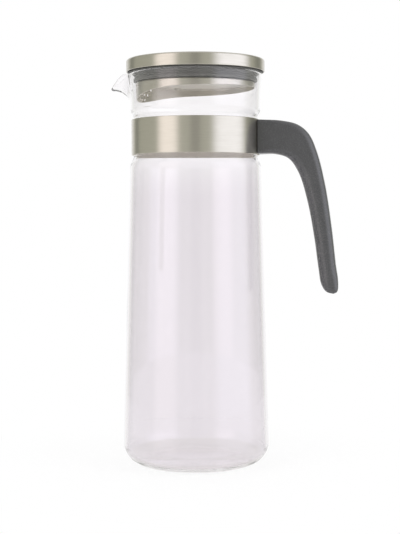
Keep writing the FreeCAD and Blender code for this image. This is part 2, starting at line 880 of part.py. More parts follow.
def check(pieces):
    """Stops the build if any object failed or any piece has no sound solid."""
    for thing in doc.Objects:
        assert not {"Invalid", "Error"} & set(thing.State), f"{thing.Label} failed: {thing.State}"
    for piece in pieces:
        shape = piece.Shape
        assert not shape.isNull() and shape.isValid() and shape.Solids, f"{piece.Label} has no sound solid"


def write(pieces):
    os.makedirs("parts", exist_ok=True)
    for piece in pieces:
        piece.Shape.exportStep(os.path.join("parts", piece.Label + ".step"))
        print(piece.Label, len(piece.Shape.Solids), "solids", round(piece.Shape.Volume, 1), "cubic mm")


def main():
    blank = make_handle_blank()
    pieces = [
        make_glass_jug(),
        make_band_liner(),
        make_collar_band(),
        make_handle(blank),
        make_clamp_plate(),
        make_clamp_washer(),
        make_clamp_screw(),
        make_screw_cover(blank),
        make_lid_cap(),
        make_lid_core(),
        make_lid_seal(),
        make_strainer(),
        make_lid_screws(),
    ]
    doc.recompute()
    check(pieces)
    write(pieces)


main()
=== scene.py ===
"""Dresses a lidded glass jug: blown glass, a brushed steel band, a moulded handle and a straining lid.

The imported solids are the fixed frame. Lengths are metres, and the settings list them in millimetres.
The jug stands on z = 0 with its axis on Z, its handle along +X and its spout along -X.
"""
import math

import bmesh
import bpy
from bpy.props import FloatProperty, FloatVectorProperty, PointerProperty
from mathutils import Matrix, Vector
from mathutils.geometry import interpolate_bezier


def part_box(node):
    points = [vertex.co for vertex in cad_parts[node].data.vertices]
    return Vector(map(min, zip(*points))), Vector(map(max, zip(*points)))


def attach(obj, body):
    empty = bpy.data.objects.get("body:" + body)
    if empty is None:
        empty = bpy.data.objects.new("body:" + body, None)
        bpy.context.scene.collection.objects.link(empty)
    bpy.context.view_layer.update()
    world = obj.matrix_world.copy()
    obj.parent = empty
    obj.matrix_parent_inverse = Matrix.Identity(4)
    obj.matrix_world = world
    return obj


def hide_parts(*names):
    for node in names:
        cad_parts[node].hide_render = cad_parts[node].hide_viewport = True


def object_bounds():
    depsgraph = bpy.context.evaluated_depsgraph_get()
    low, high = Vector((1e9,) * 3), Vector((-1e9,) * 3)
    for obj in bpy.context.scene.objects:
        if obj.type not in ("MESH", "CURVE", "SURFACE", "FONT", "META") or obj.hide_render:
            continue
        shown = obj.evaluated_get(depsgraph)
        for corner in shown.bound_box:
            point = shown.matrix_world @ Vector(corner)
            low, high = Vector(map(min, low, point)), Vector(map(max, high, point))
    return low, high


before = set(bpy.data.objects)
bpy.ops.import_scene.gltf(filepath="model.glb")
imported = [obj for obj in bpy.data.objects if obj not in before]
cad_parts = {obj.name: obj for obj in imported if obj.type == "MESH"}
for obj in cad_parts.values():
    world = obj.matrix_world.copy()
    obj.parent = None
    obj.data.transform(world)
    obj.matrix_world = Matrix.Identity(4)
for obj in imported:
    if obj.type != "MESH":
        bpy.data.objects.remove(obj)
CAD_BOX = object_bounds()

bl_info = {
    "name": "Lidded glass jug",
    "version": (1, 0, 0),
    "blender": (4, 5, 0),
    "location": "View3D > Sidebar > Jug",
    "description": "Builds the pieces, finishes and stage of a lidded glass jug",
    "category": "Add Mesh",
}

MM = 0.001
IMAGE_HEIGHT = 534
SENSOR = 36.0

# How finely the forms are divided.
LATHE_STEPS = 192
ROUND_STEPS = 6
FLOOR_STEPS = 14
BASE_STEPS = 12
TAPER_STEPS = 40
SHOULDER_STEPS = 16
WAIST_STEPS = 8
NECK_STEPS = 14
SPOUT_STEPS = 72
LIP_STEPS = 36
RIM_STEPS = 8
KNOT_POINTS = 24
HANDLE_STEPS = 120
STRAINER_STEPS = 10
ROD_STEPS = 24
DISC_STEPS = 96

# Points closer than this are one point, and an edge that turns by more than this angle stays sharp.
WELD = 0.001 * MM
SHARP_EDGE = math.radians(35)

# How far the spout's closer steps reach, in spreads of the spout.
SPOUT_MARGIN = 1.2
# How far back from its edge the lip's curve is aimed, as a share of the curve's length.
LIP_PULL = 0.55

# The handle in side view: millimetres from the axis and above the base, from the band to the tip.
BACK_EDGE = (
    (44, 234.4),
    (60, 233.4),
    (70, 230.8),
    (77, 225),
    (82, 214.5),
    (88, 191.5),
    (92.5, 163),
    (95.5, 137),
    (97.2, 123),
    (96.5, 118.3),
    (94, 117.1),
)
GRIP_EDGE = (
    (44, 211.6),
    (55, 211.4),
    (63.5, 208.4),
    (70, 199.5),
    (76, 181),
    (81, 155),
    (84, 133.5),
    (86, 123),
    (89.5, 118.3),
    (94, 117.1),
)
# Shares of the handle's length over which its edges change their rounding, at the band and at the tip.
ROOT_SHARE = 0.25
TIP_SHARE = 0.14

# Rings that divide the cap's flat top, as shares of its radius.
CAP_RINGS = (0.25, 0.5, 0.75)

# Holes in each row of the strainer, from the top row down, and a drill's two ends in strainer radii.
HOLE_ROWS = (11, 9, 7)
DRILL_ENDS = (0.85, 1.1)
# Rounding of the strainer's lower edge in sheets, and where its wall starts in corners from the top.
EDGE_SHARE = 0.45
WALL_START = 1.2

# A speckled surface: its clouds' size in grains, the swing of its roughness, and how much the grain shows.
CLOUD_GRAINS = 10
GRAIN_SWING = 0.03
GRAIN_STRENGTH = 0.2

# The Mix node's places for a factor and two colours, and for the mixed colour that it gives.
FACTOR, FIRST, SECOND, MIXED = 0, 6, 7, 2
WHITE = (1, 1, 1)

# The room in reflections: degrees to the camera's right, half the width and half the soft edge.
ROOM_FRONT = (0, 7, 6)
LEFT_SOFTBOX = (-51, 16, 9)
RIGHT_SOFTBOX = (65, 29, 12)
LEFT_CORNER = (-130, 6, 5)
RIGHT_CORNER = (128, 8, 8)
BACKDROP = (180, 30, 14)
# Where table and ceiling start and where they are whole, as the sine of the angle above level.
TABLE_EDGE = (-0.06, -0.35)
CEILING_EDGE = (0.45, 0.9)
# Light finds the tent after one to three faces of the glass: the middle of that count and its reach.
TENT_FACES = 2.0
TENT_REACH = 1.2
# A count of bounces above this is one or more.
ONE_OR_MORE = 0.5
# Where the lamps stand, in degrees to the camera's right.
LAMPS = {"left_lamp": -50, "right_lamp": 60}
# How many turns a path of light may take in all, and how many by reflection or through glass.
PATH_TURNS = 128
GLASS_TURNS = 96

# Corners of the frame's nodes, which the pieces take their places from.
GLASS_LOW, GLASS_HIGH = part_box("glass_jug")
LINER_LOW, LINER_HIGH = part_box("band_liner")
BAND_LOW, BAND_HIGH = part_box("collar_band")
CAP_LOW, CAP_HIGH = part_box("lid_cap")
SEAL_LOW, SEAL_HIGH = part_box("lid_seal")
STRAINER_LOW, STRAINER_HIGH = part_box("strainer")
BAND_RADIUS = -BAND_LOW.x
BAND_MIDDLE = (BAND_LOW.z + BAND_HIGH.z) / 2


def linear(code):
    """The scene-linear colour of an sRGB hex code."""
    channels = [int(code[k : k + 2], 16) / 255 for k in (0, 2, 4)]
    return tuple(c / 12.92 if c <= 0.04045 else ((c + 0.055) / 1.055) ** 2.4 for c in channels)


def length(label, text, millimetres):
    return FloatProperty(name=label, description=text, default=millimetres * MM, unit="LENGTH", precision=5)


def angle(label, text, degrees):
    return FloatProperty(name=label, description=text, default=math.radians(degrees), subtype="ANGLE")


def share(label, text, value):
    return FloatProperty(name=label, description=text, default=value, min=0.0, subtype="FACTOR")


def colour(label, text, code):
    return FloatVectorProperty(name=label, description=text, default=linear(code), size=3, subtype="COLOR")


class GlassSettings(bpy.types.PropertyGroup):
    """Sizes and tint of the blown glass."""

    wall: length("Wall", "Thickness of the wall", 2.2)
    lip_wall: length("Lip wall", "Thickness of the pulled-out lip", 2.3)
    floor: length("Floor", "Thickness of the floor", 2.6)
    base_corner: length("Base corner", "Rounding of the base, outside", 14.0)
    floor_corner: length("Floor corner", "Rounding between the floor and the wall, inside", 9.0)
    punt: length("Punt", "Hollow under the middle of the base", 0.7)
    shoulder_radius: length("Shoulder radius", "Outside radius where the taper ends", 44.6)
    shoulder_height: length("Shoulder height", "Height where the taper ends", 203.0)
    waist_radius: length("Waist radius", "Outside radius under the band", 42.2)
    waist_low: length("Waist foot", "Height where the waist starts", 210.5)
    waist_top: length("Waist top", "Height where the waist ends", 236.0)
    neck_radius: length("Neck radius", "Outside radius of the neck", 44.5)
    neck_low: length("Neck foot", "Height where the neck is straight again", 242.4)
    spout_half_angle: angle("Spout spread", "How far round the neck the spout reaches, each way", 20.0)
    spout_sharpness: share("Spout sharpness", "How quickly the spout narrows towards its tip", 1.2)
    keel_height: length("Keel height", "Height that the keel aims at as it leaves the neck", 251.0)
    lip_start: length("Lip start", "How far out from the neck the lip starts to dip", 4.2)
    lip_drop: length("Lip drop", "How far the tip lies below the rim", 9.4)
    lip_bend: share("Lip bend", "How much the lip bends down towards its tip", 1.35)
    tint: colour("Tint", "Colour of white light through one wall of the body", "F4F1F4")
    # The foot's greyer tint is partly the thicker glass and partly painted shade near the base; it fades out
    # between the foot height and the fade above it.
    foot_tint_and_painted_shade: colour("Foot tint", "Colour of white light through one wall of the foot", "EEEBEC")
    foot_height: length("Foot height", "Height where the foot's tint starts to fade", 6.0)
    foot_fade: length("Foot fade", "Height over which the foot's tint fades", 2.0)
    # The neck's paler tint is painted light, and the tint fade blends the body's tint into it around the
    # shoulder.
    neck_painted_light_tint: colour("Neck tint", "Colour of white light through one wall of the neck", "FEFDFE")
    tint_fade: length("Tint fade", "Height over which the tint fades, half above the shoulder", 50.0)
    wave: length("Waviness", "Distance between the faint waves that blowing leaves", 34.0)
    wave_depth: length("Wave depth", "Height of a wave", 0.3)
    wave_strength: share("Wave strength", "How much of a wave's height the light shows", 0.08)


class SteelSettings(bpy.types.PropertyGroup):
    """The finish of the steel, brushed and plain."""

    steel: colour("Steel", "Colour of the polished grain", "D2CEC5")
    grain: colour("Grain", "Colour down in the brush lines", "C6C2B8")
    roughness: share("Roughness", "Roughness of the brushed surface", 0.32)
    swing: share("Roughness swing", "How far the roughness goes up in the lines and down beside them", 0.05)
    stretch: share("Stretch", "How far lights are drawn out across the lines", 0.92)
    brush_line: length("Brush line", "Distance between the brush lines as drawn", 0.9)
    brush_change: share("Brush change", "How often the lines change on their way round", 4.0)
    line_depth: length("Line depth", "Depth of a line", 0.05)
    line_strength: share("Line strength", "How much of a line's depth the light shows", 0.05)
    fastener: colour("Fastener", "Colour of the clamp's plain steel", "B9B9B7")
    fastener_dull: colour("Fastener dull", "Colour of the clamp's plain steel where it is duller", "ACACA9")


class BandSettings(bpy.types.PropertyGroup):
    """Sizes of the collar band and the sleeve under it, and the sleeve's colours."""

    sheet: length("Sheet", "Thickness of the strip", 0.8)
    edge: length("Edge", "Rounding of the strip's edges", 0.38)
    lug_gap: length("Lug gap", "Room between the two lugs", 10.0)
    lug_height: length("Lug height", "Height of a lug", 15.0)
    hook_gap: length("Hook gap", "Room between the two hooks", 5.2)
    liner_gap: length("Liner gap", "Room between the sleeve and the glass, and the band", 0.05)
    liner: colour("Liner", "Colour of the sleeve", "D2CFC4")
    liner_shade: colour("Liner shade", "Colour of the sleeve's darker clouds", "C6C3B8")


class HandleSettings(bpy.types.PropertyGroup):
    """Sizes and colour of the handle."""

    width: length("Width", "Width across the handle", 18.0)
    gap: length("Gap", "Room between the handle and the band", 0.4)
    root_round: length("Root rounding", "Rounding of the edges at the band", 2.0)
    back_round: length("Back rounding", "Rounding of the edges along the back", 5.0)
    grip_round: length("Grip rounding", "Rounding of the edges along the fingers", 6.5)
    tip_round: length("Tip rounding", "Rounding of the edges round the tip", 3.0)
    pocket_end: length("Pocket end", "How far from the axis the lugs' pocket reaches", 53.3)
    pocket_room: length("Pocket room", "Room round the lugs in their pocket", 0.2)
    screw_seat: length("Screw seat", "How far from the axis the screw's washer sits", 63.8)
    screw_bore: length("Screw bore", "Radius of the screw's bore", 2.2)
    access_bore: length("Access bore", "Radius of the bore that the cover closes", 4.0)
    plastic: colour("Plastic", "Colour of the moulding", "5A5A5C")
    speck: colour("Speck", "Colour of the moulding's darker clouds", "505052")
    grain: length("Grain", "Distance between the mould's spark marks as drawn", 0.7)


class LidSettings(bpy.types.PropertyGroup):
    """Sizes and colours of the lid."""

    cap_sheet: length("Cap sheet", "Thickness of the cap", 0.8)
    cap_edge: length("Cap edge", "Rounding of the cap's upper edge", 1.6)
    cap_lip: length("Cap lip", "Rounding of the cap's lower edge", 0.3)
    seal_inside: length("Seal inside", "Inside radius of the seal", 39.7)
    seal_outside: length("Seal outside", "Radius of the seal's sleeve", 41.3)
    seal_lip: length("Seal lip", "Radius of the seal's lips", 42.1)
    seal_round: length("Seal rounding", "Rounding of the seal's lips", 0.35)
    sheet: length("Strainer sheet", "Thickness of the strainer", 0.6)
    taper: length("Strainer taper", "How much narrower the strainer is at its deepest point", 0.5)
    corner: length("Strainer corner", "Rounding between the strainer's floor and its wall", 1.2)
    back_depth: length("Back depth", "Height of the strainer's wall at the handle side", 4.0)
    slant: length("Slant", "How far the strainer's edge falls evenly from handle to spout", 2.3)
    dip: length("Dip", "How far the strainer's edge curves down further at the spout", 6.2)
    hole: length("Hole", "Radius of a strainer hole", 0.9)
    hole_margin: length("Hole margin", "Height from an edge to the nearest row of holes", 2.5)
    hole_step: angle("Hole step", "Angle from hole to hole", 6.0)
    seal: colour("Seal", "Colour of the silicone", "5B5B58")
    seal_worn: colour("Seal worn", "Colour of the silicone where it is rubbed", "686865")
    core: colour("Core", "Colour of the moulded core", "2B2B2B")
    core_cloud: colour("Core cloud", "Colour of the core's paler clouds", "343434")


class StageSettings(bpy.types.PropertyGroup):
    """The camera, the room and the lamps."""

    azimuth: angle("Azimuth", "How far the camera stands round towards the handle", 7.5)
    distance: length("Distance", "How far the camera stands from the axis", 805.3)
    aside: length("Aside", "How far the camera stands to its right", 2.81)
    height: length("Height", "Height of the camera", 174.95)
    pitch: angle("Pitch", "How far the camera looks down", 2.875)
    roll: angle("Roll", "How far the camera leans", -0.148)
    focal: FloatProperty(name="Focal length", description="In pixels of the image", default=1173.25)
    floor_radius: length("Floor radius", "Radius of the pale floor", 340.0)
    floor_drop: length("Floor drop", "How far the floor lies under the base", 0.3)
    floor: colour("Floor", "Colour of the floor", "F4F4F4")
    shadow: share("Shadow", "How much of the floor's shading is kept beside the jug", 0.12)
    shadow_reach: length("Shadow reach", "How far from the axis the shading is kept", 170.0)
    ambient: share("Ambient", "Brightness of the camera's side of the room on plain surfaces", 0.26)
    backdrop: share("Backdrop", "Brightness of the backdrop's side of the room on plain surfaces", 1.25)
    room: colour("Room", "Colour of the room that steel reflects", "BCBDAF")
    room_front: colour("Room front", "Colour of the room behind the camera", "89887D")
    room_corner: colour("Room corner", "Colour of the room's two far corners", "8C8E84")
    table: colour("Table", "Colour of the table in reflections", "F2F2F0")
    ceiling: colour("Ceiling", "Colour of the ceiling in reflections", "DCDCD8")
    left_tone: colour("Left softbox", "Colour of the left softbox in reflections", "FFF7F4")
    left_light: share("Left light", "Brightness of the left softbox in reflections", 1.7)
    right_tone: colour("Right softbox", "Colour of the right softbox in reflections", "F5F6FF")
    right_light: share("Right light", "Brightness of the right softbox in reflections", 1.9)
    tent: share("Tent", "How much of a white tent the light inside the glass finds round the jug", 0.6)
    lamp_size: length("Lamp size", "Side of a square lamp", 600.0)
    lamp_distance: length("Lamp distance", "How far a lamp stands from the axis", 1000.0)
    lamp_height: length("Lamp height", "Height of a lamp's middle", 600.0)
    lamp_power: FloatProperty(name="Lamp power", description="Power of a lamp", default=5.0, unit="POWER")


def spread(start, end, steps):
    """Evenly spaced values from start to end, with both ends."""
    return [start + (end - start) * k / steps for k in range(steps + 1)]


def ease(value):
    """A smooth step from 0 to 1."""
    value = min(max(value, 0.0), 1.0)
    return value * value * (3 - 2 * value)


def arc(centre, radius, start, end, steps):
    """Points of an arc in the plane, from one angle to another."""
    turns = spread(start, end, steps)
    return [Vector((centre[0] + radius * math.cos(t), centre[1] + radius * math.sin(t))) for t in turns]


def ogee(start, end, steps):
    """Points of a smooth sideways step between two heights."""
    return [
        Vector((start[0] + (end[0] - start[0]) * ease(k), start[1] + (end[1] - start[1]) * k))
        for k in spread(0, 1, steps)
    ]


def straight(start, end, steps):
    return [Vector(start).lerp(Vector(end), k) for k in spread(0, 1, steps)]


def polar(radius, turn, height):
    return Vector((radius * math.cos(turn), radius * math.sin(turn), height))


def full_turn():
    """The angles of a turned piece, once round."""
    return [2 * math.pi * k / LATHE_STEPS for k in range(LATHE_STEPS)]


def rounded(corners, closed=True):
    """An outline of (x, y, radius) corners, with an arc at each corner that has a radius."""
    points = []
    for number, (x, y, radius) in enumerate(corners):
        here = Vector((x, y))
        at_end = not closed and number in (0, len(corners) - 1)
        if at_end or radius == 0:
            points.append(here)
            continue
        back = (Vector(corners[number - 1][:2]) - here).normalized()
        on = (Vector(corners[(number + 1) % len(corners)][:2]) - here).normalized()
        half = back.angle(on) / 2
        centre = here + (back + on).normalized() * (radius / math.sin(half))
        start = here + back * (radius / math.tan(half)) - centre
        end = here + on * (radius / math.tan(half)) - centre
        turn = math.atan2(start.x * end.y - start.y * end.x, start.dot(end))
        for t in spread(0, turn, ROUND_STEPS):
            points.append(centre + Matrix.Rotation(t, 2) @ start)
    return points


def rectangle(low, high, radius):
    """The outline of a rectangle between two corners, with rounded edges."""
    corners = (low, (high[0], low[1]), high, (low[0], high[1]))
    return rounded([(x, y, radius) for x, y in corners])


def wall_faces(rings, count, closed=False):
    """Faces from each ring of points to the next, and from the last ring to the first where it is closed."""
    faces = []
    for j in range(rings if closed else rings - 1):
        low, high = j * count, (j + 1) % rings * count
        for i in range(count):
            k = (i + 1) % count
            faces.append((low + i, low + k, high + k, high + i))
    return faces


def skin(name, rows, low_pole=None, high_pole=None):
    """A closed mesh over rows of points that each run once round the axis.

    It ends in a pole at each end, or else joins its last row to its first.
    """
    count = len(rows[0])
    points = [point for row in rows for point in row]
    faces = wall_faces(len(rows), count, closed=low_pole is None)
    for pole, row in ((low_pole, 0), (high_pole, len(rows) - 1)):
        if pole is None:
            continue
        points.append(pole)
        for i in range(count):
            faces.append((row * count + i, row * count + (i + 1) % count, len(points) - 1))
    return closed_mesh(name, points, faces)


def closed_mesh(name, points, faces):
    """A mesh whose doubled points are merged and whose faces all look outwards."""
    mesh = bpy.data.meshes.new(name)
    mesh.from_pydata(points, [], faces)
    work = bmesh.new()
    work.from_mesh(mesh)
    bmesh.ops.remove_doubles(work, verts=work.verts, dist=WELD)
    bmesh.ops.dissolve_degenerate(work, edges=work.edges, dist=WELD)
    bmesh.ops.recalc_face_normals(work, faces=work.faces)
    work.to_mesh(mesh)
    work.free()
    return mesh


def lathe(name, outline):
    """Turns an outline of radius and height round the Z axis.

    One that starts and ends on the axis is closed there.
    """
    on_axis = outline[0].x == 0 and outline[-1].x == 0
    body = outline[1:-1] if on_axis else outline
    rows = [[polar(p.x, turn, p.y) for turn in full_turn()] for p in body]
    if not on_axis:
        return skin(name, rows)
    return skin(name, rows, Vector((0, 0, outline[0].y)), Vector((0, 0, outline[-1].y)))


def new_mesh(name, work):
    """The mesh that a finished bmesh gives."""
    mesh = bpy.data.meshes.new(name)
    work.to_mesh(mesh)
    work.free()
    return mesh


def rod(radius, start, end):
    """A round bar between two points."""
    start, end = Vector(start), Vector(end)
    way = end - start
    place = Matrix.Translation((start + end) / 2) @ way.to_track_quat("Z", "X").to_matrix().to_4x4()
    shape = {"radius1": radius, "radius2": radius, "depth": way.length}
    work = bmesh.new()
    bmesh.ops.create_cone(work, cap_ends=True, segments=ROD_STEPS, matrix=place, **shape)
    return new_mesh("rod", work)


def merged(meshes):
    """One mesh of several that don't touch."""
    work = bmesh.new()
    for mesh in meshes:
        work.from_mesh(mesh)
    return new_mesh("merged", work)


def carve(mesh, cutters):
    """Cuts the cutters' meshes out of a mesh."""
    scene = bpy.context.scene
    blank = bpy.data.objects.new(mesh.name + "_blank", mesh)
    scene.collection.objects.link(blank)
    tools = []
    for number, cutter in enumerate(cutters):
        tool = bpy.data.objects.new(f"{mesh.name}_cutter_{number}", cutter)
        scene.collection.objects.link(tool)
        cut = blank.modifiers.new("cut", "BOOLEAN")
        cut.operation = "DIFFERENCE"
        cut.solver = "EXACT"
        cut.object = tool
        tools.append(tool)
    bpy.context.view_layer.update()
    carved = bpy.data.meshes.new_from_object(blank.evaluated_get(bpy.context.evaluated_depsgraph_get()))
    carved.name = mesh.name
    for thing in (blank, *tools):
        bpy.data.objects.remove(thing)
    return carved


def add_piece(name, mesh, body, slot, material, *nodes, keep_flat=True):
    """Puts a finished mesh in the scene, in place of the named nodes."""
    mesh.materials.append(material)
    mesh.shade_smooth()
    piece = bpy.data.objects.new(name, mesh)
    bpy.context.scene.collection.objects.link(piece)
    if keep_flat:
        mesh.set_sharp_from_angle(angle=SHARP_EDGE)
        weighted = piece.modifiers.new("flat_faces_stay_flat", "WEIGHTED_NORMAL")
        weighted.keep_sharp = True
    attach(piece, body)
    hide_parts(*nodes)


def blank_tree(owner):
    """The emptied node tree of a material or a world."""
    owner.use_nodes = True
    owner.node_tree.nodes.clear()
    return owner.node_tree


def node(tree, kind, inputs=None, **settings):
    """Adds a node and gives its outputs. An input is a value, or another node's output to link."""
    made = tree.nodes.new(kind)
    for name, value in settings.items():
        setattr(made, name, value)
    for socket, value in (inputs or {}).items():
        if isinstance(value, bpy.types.NodeSocket):
            tree.links.new(value, made.inputs[socket])
        else:
            made.inputs[socket].default_value = value
    return made.outputs


def blown_glass(s):
    """Borosilicate glass, blown: clear, faintly lilac, with slow waves in it. It is greyer at the foot,
    partly for the thicker glass and partly as painted shade, and paler at the neck as painted light.
    """
    material = bpy.data.materials.new("borosilicate_glass_blown")
    tree = blank_tree(material)
    place = node(tree, "ShaderNodeTexCoord")["Object"]
    height = node(tree, "ShaderNodeSeparateXYZ", {"Vector": place})["Z"]
    half = s.tint_fade / 2
    tint = (*s.tint, 1)
    # Above the shoulder the tint turns into the neck's paler tint, painted light; near the base it turns
    # into the foot's greyer tint, partly thicker glass and partly painted shade.
    for start, end, other in (
        (s.shoulder_height - half, s.shoulder_height + half, s.neck_painted_light_tint),
        (s.foot_height + s.foot_fade, s.foot_height, s.foot_tint_and_painted_shade),
    ):
        fade = {"Value": height, "From Min": start, "From Max": end}
        near = node(tree, "ShaderNodeMapRange", fade, interpolation_type="SMOOTHSTEP")["Result"]
        mix = {FACTOR: near, FIRST: tint, SECOND: (*other, 1)}
        tint = node(tree, "ShaderNodeMix", mix, data_type="RGBA")[MIXED]
    waves = node(tree, "ShaderNodeTexNoise", {"Vector": place, "Scale": 1 / s.wave, "Detail": 1.0})["Fac"]
    relief = {"Height": waves, "Strength": s.wave_strength, "Distance": s.wave_depth}
    finish = {
        "Base Color": tint,
        "Normal": node(tree, "ShaderNodeBump", relief)["Normal"],
        "Transmission Weight": 1.0,
        "IOR": 1.474,
        "Roughness": 0.0,
    }
    shader = node(tree, "ShaderNodeBsdfPrincipled", finish)["BSDF"]
    node(tree, "ShaderNodeOutputMaterial", {"Surface": shader})
    return material


def brushed_steel(s):
    """Stainless steel, brushed round the axis: warm grey, with lights drawn out across the brush lines.

    Real brush lines are about 0.1 mm apart. They are drawn coarser, so that they show.
    """
    material = bpy.data.materials.new("stainless_steel_brushed")
    tree = blank_tree(material)
    place = node(tree, "ShaderNodeTexCoord")["Object"]
    parts = node(tree, "ShaderNodeSeparateXYZ", {"Vector": place})
    flat = node(tree, "ShaderNodeCombineXYZ", {"X": parts["X"], "Y": parts["Y"]})["Vector"]
    reach = node(tree, "ShaderNodeVectorMath", {0: flat}, operation="LENGTH")["Value"]
    way = node(tree, "ShaderNodeVectorMath", {0: flat}, operation="NORMALIZE")["Vector"]
    way = node(tree, "ShaderNodeVectorMath", {0: way, "Scale": s.brush_change}, operation="SCALE")["Vector"]
    across = node(tree, "ShaderNodeMath", {0: reach, 1: parts["Z"]}, operation="SUBTRACT")[0]
    across = node(tree, "ShaderNodeMath", {0: across, 1: s.brush_line}, operation="DIVIDE")[0]
    lines = node(tree, "ShaderNodeCombineXYZ", {"Z": across})["Vector"]
    lines = node(tree, "ShaderNodeVectorMath", {0: way, 1: lines}, operation="ADD")["Vector"]
    grain = node(tree, "ShaderNodeTexNoise", {"Vector": lines, "Scale": 1.0, "Detail": 3.0})["Fac"]
    mix = {FACTOR: grain, FIRST: (*s.grain, 1), SECOND: (*s.steel, 1)}
    rough = {"Value": grain, "To Min": s.roughness + s.swing, "To Max": s.roughness - s.swing}
    relief = {"Height": grain, "Strength": s.line_strength, "Distance": s.line_depth}
    finish = {
        "Base Color": node(tree, "ShaderNodeMix", mix, data_type="RGBA")[MIXED],
        "Roughness": node(tree, "ShaderNodeMapRange", rough)["Result"],
        "Normal": node(tree, "ShaderNodeBump", relief)["Normal"],
        "Tangent": node(tree, "ShaderNodeTangent", direction_type="RADIAL", axis="Z")["Tangent"],
        "Metallic": 1.0,
        "Anisotropic": s.stretch,
        "Anisotropic Rotation": 0.25,
    }
    shader = node(tree, "ShaderNodeBsdfPrincipled", finish)["BSDF"]
    node(tree, "ShaderNodeOutputMaterial", {"Surface": shader})
    return material


def speckled(name, low, high, grain, relief, roughness, sockets):
    """A surface with two close tones in slow clouds, under a fine even grain.

    Real grain is about 0.1 mm. It is drawn coarser, so that it shows.
    """
    material = bpy.data.materials.new(name)
    tree = blank_tree(material)
    place = node(tree, "ShaderNodeTexCoord")["Object"]
    noise = {"Vector": place, "Scale": 1 / (CLOUD_GRAINS * grain), "Detail": 4.0}
    clouds = node(tree, "ShaderNodeTexNoise", noise)["Fac"]
    marks = node(tree, "ShaderNodeTexNoise", {"Vector": place, "Scale": 1 / grain, "Detail": 2.0})["Fac"]
    mix = {FACTOR: clouds, FIRST: (*low, 1), SECOND: (*high, 1)}
    rough = {"Value": marks, "To Min": roughness - GRAIN_SWING, "To Max": roughness + GRAIN_SWING}
    bump = {"Height": marks, "Strength": GRAIN_STRENGTH, "Distance": relief}
    finish = {
        "Base Color": node(tree, "ShaderNodeMix", mix, data_type="RGBA")[MIXED],
        "Roughness": node(tree, "ShaderNodeMapRange", rough)["Result"],
        "Normal": node(tree, "ShaderNodeBump", bump)["Normal"],
        **sockets,
    }
    shader = node(tree, "ShaderNodeBsdfPrincipled", finish)["BSDF"]
    node(tree, "ShaderNodeOutputMaterial", {"Surface": shader})
    return material


def handle_plastic(s):
    """Glass-filled nylon from a spark-eroded mould: dark grey and satin, with a fine even grain."""
    surface = {"grain": s.grain, "relief": 0.004 * MM, "roughness": 0.27, "sockets": {"IOR": 1.53}}
    return speckled("nylon_moulded_satin", s.speck, s.plastic, **surface)


def seal_silicone(s):
    """Silicone rubber, moulded: dark grey and matt, a little paler where it is rubbed."""
    surface = {"grain": 0.8 * MM, "relief": 0.02 * MM, "roughness": 0.5, "sockets": {"IOR": 1.41}}
    return speckled("silicone_rubber_moulded", s.seal, s.seal_worn, **surface)


def core_plastic(s):
    """ABS, moulded: nearly black and matt."""
    surface = {"grain": 0.7 * MM, "relief": 0.02 * MM, "roughness": 0.55, "sockets": {"IOR": 1.53}}
    return speckled("abs_moulded_black", s.core, s.core_cloud, **surface)


def liner_silicone(s):
    """Silicone rubber, moulded thin: light grey and matt, seen through the glass at the band's edges."""
    surface = {"grain": 1.0 * MM, "relief": 0.01 * MM, "roughness": 0.5, "sockets": {"IOR": 1.41}}
    return speckled("silicone_pale_moulded", s.liner, s.liner_shade, **surface)


def turned_steel(s):
    """Stainless steel, turned: plain grey with fine tool marks, drawn coarser so that they show."""
    surface = {"grain": 0.5 * MM, "relief": 0.02 * MM, "roughness": 0.35, "sockets": {"Metallic": 1.0}}
    return speckled("stainless_steel_turned", s.fastener_dull, s.fastener, **surface)


def wall_outline(s, inset, foot, corner):
    """The jug's wall in radius and height, moved in by an inset, from the middle of its foot to the neck."""
    base = GLASS_HIGH.y - inset
    flat = base - corner
    waist = s.waist_radius - inset
    hollow = [Vector((r, foot + s.punt * (1 - (r / flat) ** 2) ** 2)) for r in spread(0, flat, FLOOR_STEPS)]
    wall_foot = (base, foot + corner)
    shoulder = (s.shoulder_radius - inset, s.shoulder_height)
    return [
        *hollow,
        *arc((flat, foot + corner), corner, -math.pi / 2, 0, BASE_STEPS)[1:],
        *straight(wall_foot, shoulder, TAPER_STEPS)[1:],
        *ogee(shoulder, (waist, s.waist_low), SHOULDER_STEPS)[1:],
        *straight((waist, s.waist_low), (waist, s.waist_top), WAIST_STEPS)[1:],
        *ogee((waist, s.waist_top), (s.neck_radius - inset, s.neck_low), NECK_STEPS)[1:],
    ]


def glass_turns(s):
    """The angles round the jug, closer together across the spout, which points along -X."""
    half = s.spout_half_angle * SPOUT_MARGIN
    across = spread(math.pi - half, math.pi + half, SPOUT_STEPS)
    rest = spread(math.pi + half, 3 * math.pi - half, LATHE_STEPS)
    return across + rest[1:-1]


